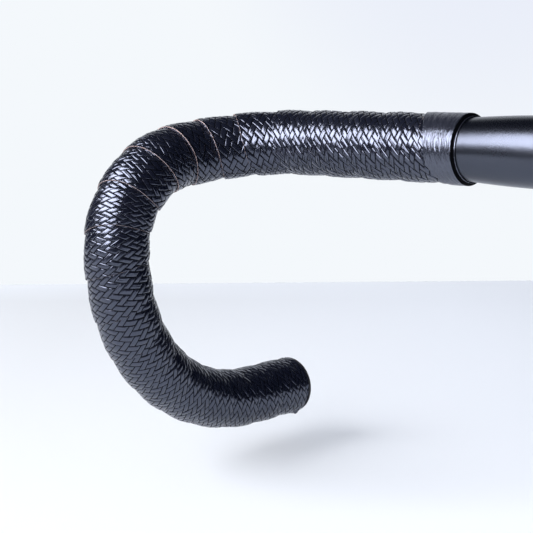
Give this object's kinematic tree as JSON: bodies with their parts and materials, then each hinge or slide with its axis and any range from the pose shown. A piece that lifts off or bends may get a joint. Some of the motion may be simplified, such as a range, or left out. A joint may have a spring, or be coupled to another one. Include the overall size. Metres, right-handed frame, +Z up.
{
  "type": "taped drop handlebar",
  "caption": "Bicycle drop handlebar with its middle bare for a stem and both sides wound with woven-look tape, ending in bands and plugs.",
  "frame": {"origin": "middle of the clamp zone, on the centre line of the tops", "axes": "+X along the tops towards the rider's left hand, -Y the way the bike faces, +Z up"},
  "size_m": [0.4902, 0.1615, 0.178],
  "materials": {
    "bar_metal": "black anodised, satin",
    "tape_leather": "black, embossed with a braid, semi-gloss",
    "band_tape": "black, satin",
    "plug_plastic": "black, moulded"
  },
  "bodies": {
    "root": {"handlebar_tube": "bar_metal", "bar_tape_right": "tape_leather", "bar_tape_left": "tape_leather", "finishing_band_right": "band_tape", "finishing_band_left": "band_tape", "end_plug_right": "plug_plastic", "end_plug_left": "plug_plastic"}
  },
  "joints": []
}
